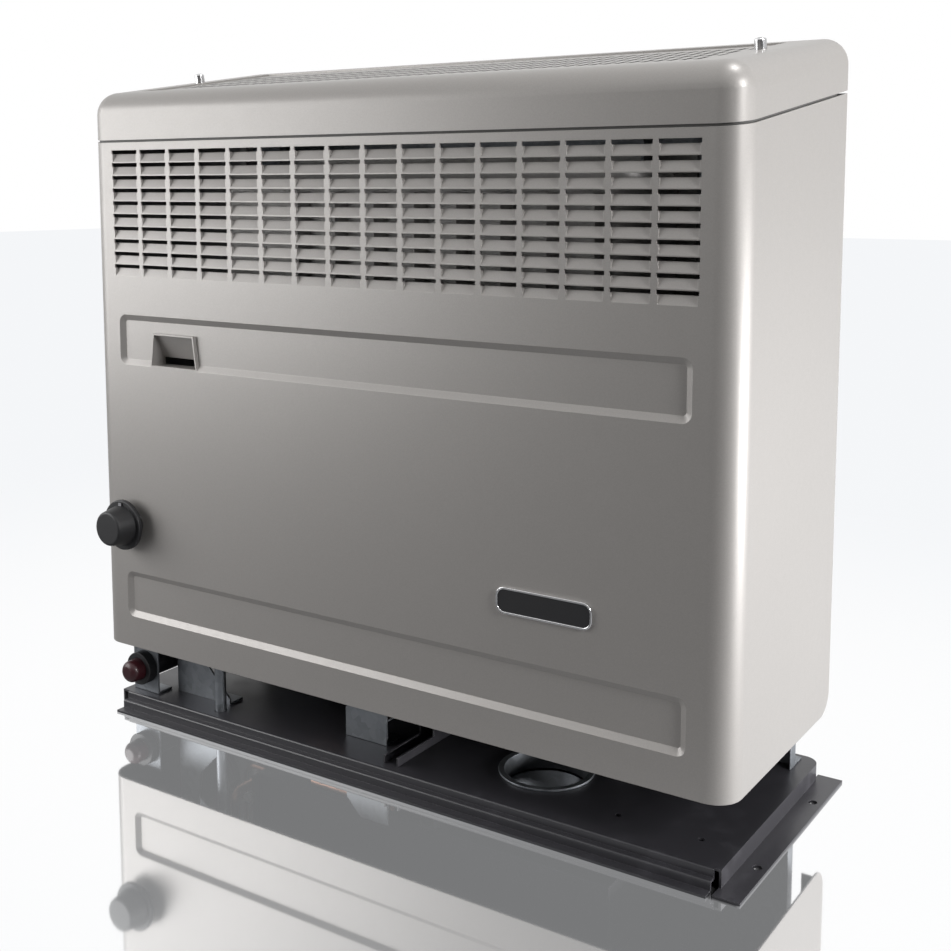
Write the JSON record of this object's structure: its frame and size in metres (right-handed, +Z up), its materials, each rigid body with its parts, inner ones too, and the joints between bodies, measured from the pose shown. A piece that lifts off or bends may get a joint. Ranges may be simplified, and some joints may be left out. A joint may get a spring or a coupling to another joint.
{
  "type": "caravan gas heater",
  "caption": "Caravan gas heater with a louvred sheet casing, sloping slotted cap, heat exchanger, burner, gas valve with press-and-turn knob, push-button igniter and a folded base plate.",
  "frame": {"origin": "on the floor under the middle of the heater's box", "axes": "+X to the right across the front, +Y from front to back, +Z up"},
  "size_m": [0.503, 0.197, 0.4727],
  "materials": {
    "casing_paint": "satin metallic champagne paint",
    "base_paint": "semi-gloss anthracite paint",
    "bright_steel": "bright plated",
    "exchanger_steel": "heat-tinted steel sheet",
    "zinc_sheet": "zinc-plated sheet",
    "valve_casting": "die-cast",
    "brass": "turned",
    "copper": "drawn copper",
    "ceramic": "glazed ceramic",
    "black_plastic": "moulded",
    "red_plastic": "moulded",
    "seal": "silicone",
    "window_glass": "clear"
  },
  "bodies": {
    "heater": {"base_plate": "base_paint", "casing": "casing_paint", "top_cap": "casing_paint", "top_grille": "casing_paint", "cap_screws": "bright_steel", "cap_bracket_left": "zinc_sheet", "cap_bracket_right": "zinc_sheet", "heat_exchanger_front": "exchanger_steel", "heat_exchanger_rear": "exchanger_steel", "sight_frame": "zinc_sheet", "sight_glass": "window_glass", "burner_box": "exchanger_steel", "burner_end_plate": "exchanger_steel", "burner_tube": "exchanger_steel", "burner_injector": "brass", "ignition_electrode": "ceramic", "thermocouple": "copper", "flue_spigot": "bright_steel", "flue_gasket": "seal", "air_intake_collar": "zinc_sheet", "support_rail": "base_paint", "support_foot_left": "base_paint", "support_foot_right": "base_paint", "gas_valve": "valve_casting", "valve_bonnet": "valve_casting", "valve_screws": "bright_steel", "valve_bracket": "zinc_sheet", "gas_inlet_pipe": "zinc_sheet", "inlet_union_nut": "brass", "burner_feed_pipe": "copper", "sensor_bracket": "zinc_sheet", "sensor_bulb": "copper", "sensor_capillary": "copper", "igniter_bracket": "zinc_sheet", "igniter_body": "black_plastic", "igniter_nut": "black_plastic", "ignition_lead": "seal", "rear_shield": "zinc_sheet"},
    "pusher": {"pusher_sleeve": "valve_casting"},
    "knob": {"valve_spindle": "valve_casting", "control_knob": "black_plastic"},
    "igniter_button": {"igniter_button": "red_plastic"}
  },
  "joints": [
    {"name": "knob_press", "type": "slide", "parent": "heater", "child": "pusher", "axis": [0, 1, 0], "range_m": [0, 0.005], "stiffness_N_per_m": 800},
    {"name": "knob_turn", "type": "hinge", "parent": "pusher", "child": "knob", "pos_m": [-0.213, -0.0765, 0.144], "axis": [0, 1, 0], "range_deg": [0, 270]},
    {"name": "igniter_press", "type": "slide", "parent": "heater", "child": "igniter_button", "axis": [0, 1, 0], "range_m": [0, 0.005], "stiffness_N_per_m": 900}
  ]
}
